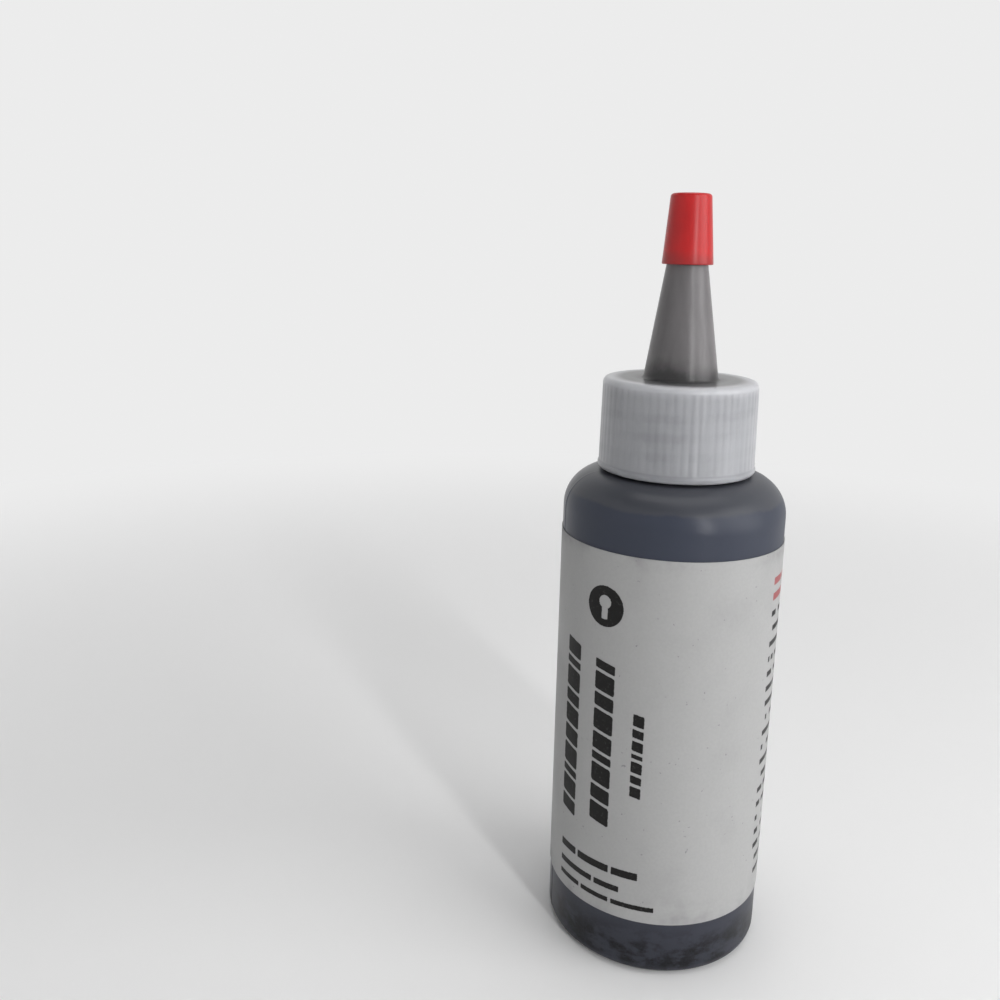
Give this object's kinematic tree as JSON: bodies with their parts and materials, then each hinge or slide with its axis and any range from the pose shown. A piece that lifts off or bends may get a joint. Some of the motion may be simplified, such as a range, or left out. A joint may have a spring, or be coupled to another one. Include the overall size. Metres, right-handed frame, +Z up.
{
  "type": "graphite lock lubricant squeeze bottle",
  "caption": "Round squeeze bottle of powdered graphite for locks, with a wrap label, a ribbed screw-on spout closure and a push-on tip cap.",
  "frame": {"origin": "centre of the standing ring under the bottle", "axes": "+Z up the bottle's axis towards the tip cap, label seam towards +Y"},
  "size_m": [0.0383, 0.0382, 0.1313],
  "materials": {
    "bottle_plastic": "satin blown polyethylene, darkened by the graphite inside",
    "label_paper": null,
    "graphite": "fine dull grey-black powder",
    "closure_plastic": "natural milky polyethylene",
    "spout_graphite": "caked graphite powder",
    "tip_plastic": "glossy moulded red plastic"
  },
  "bodies": {
    "bottle": {"bottle": "bottle_plastic", "label": "label_paper", "graphite_powder": "graphite"},
    "spout_fill": {"spout_graphite": "spout_graphite"},
    "closure": {"closure": "closure_plastic"},
    "tip": {"tip_cap": "tip_plastic"}
  },
  "joints": [
    {"name": "closure_lift", "type": "slide", "parent": "bottle", "child": "spout_fill", "axis": [0, 0, 1], "range_m": [0, 0.00794]},
    {"name": "closure_turn", "type": "hinge", "parent": "spout_fill", "child": "closure", "pos_m": [0, 0, 0.0932], "axis": [0, 0, 1], "range_deg": [0, 900]},
    {"name": "tip_pull", "type": "slide", "parent": "closure", "child": "tip", "axis": [0, 0, 1], "range_m": [0, 0.012]}
  ],
  "couplings": [
    {"joint": "closure_lift", "follows": "closure_turn", "m_per_rad": 0.0005053}
  ]
}
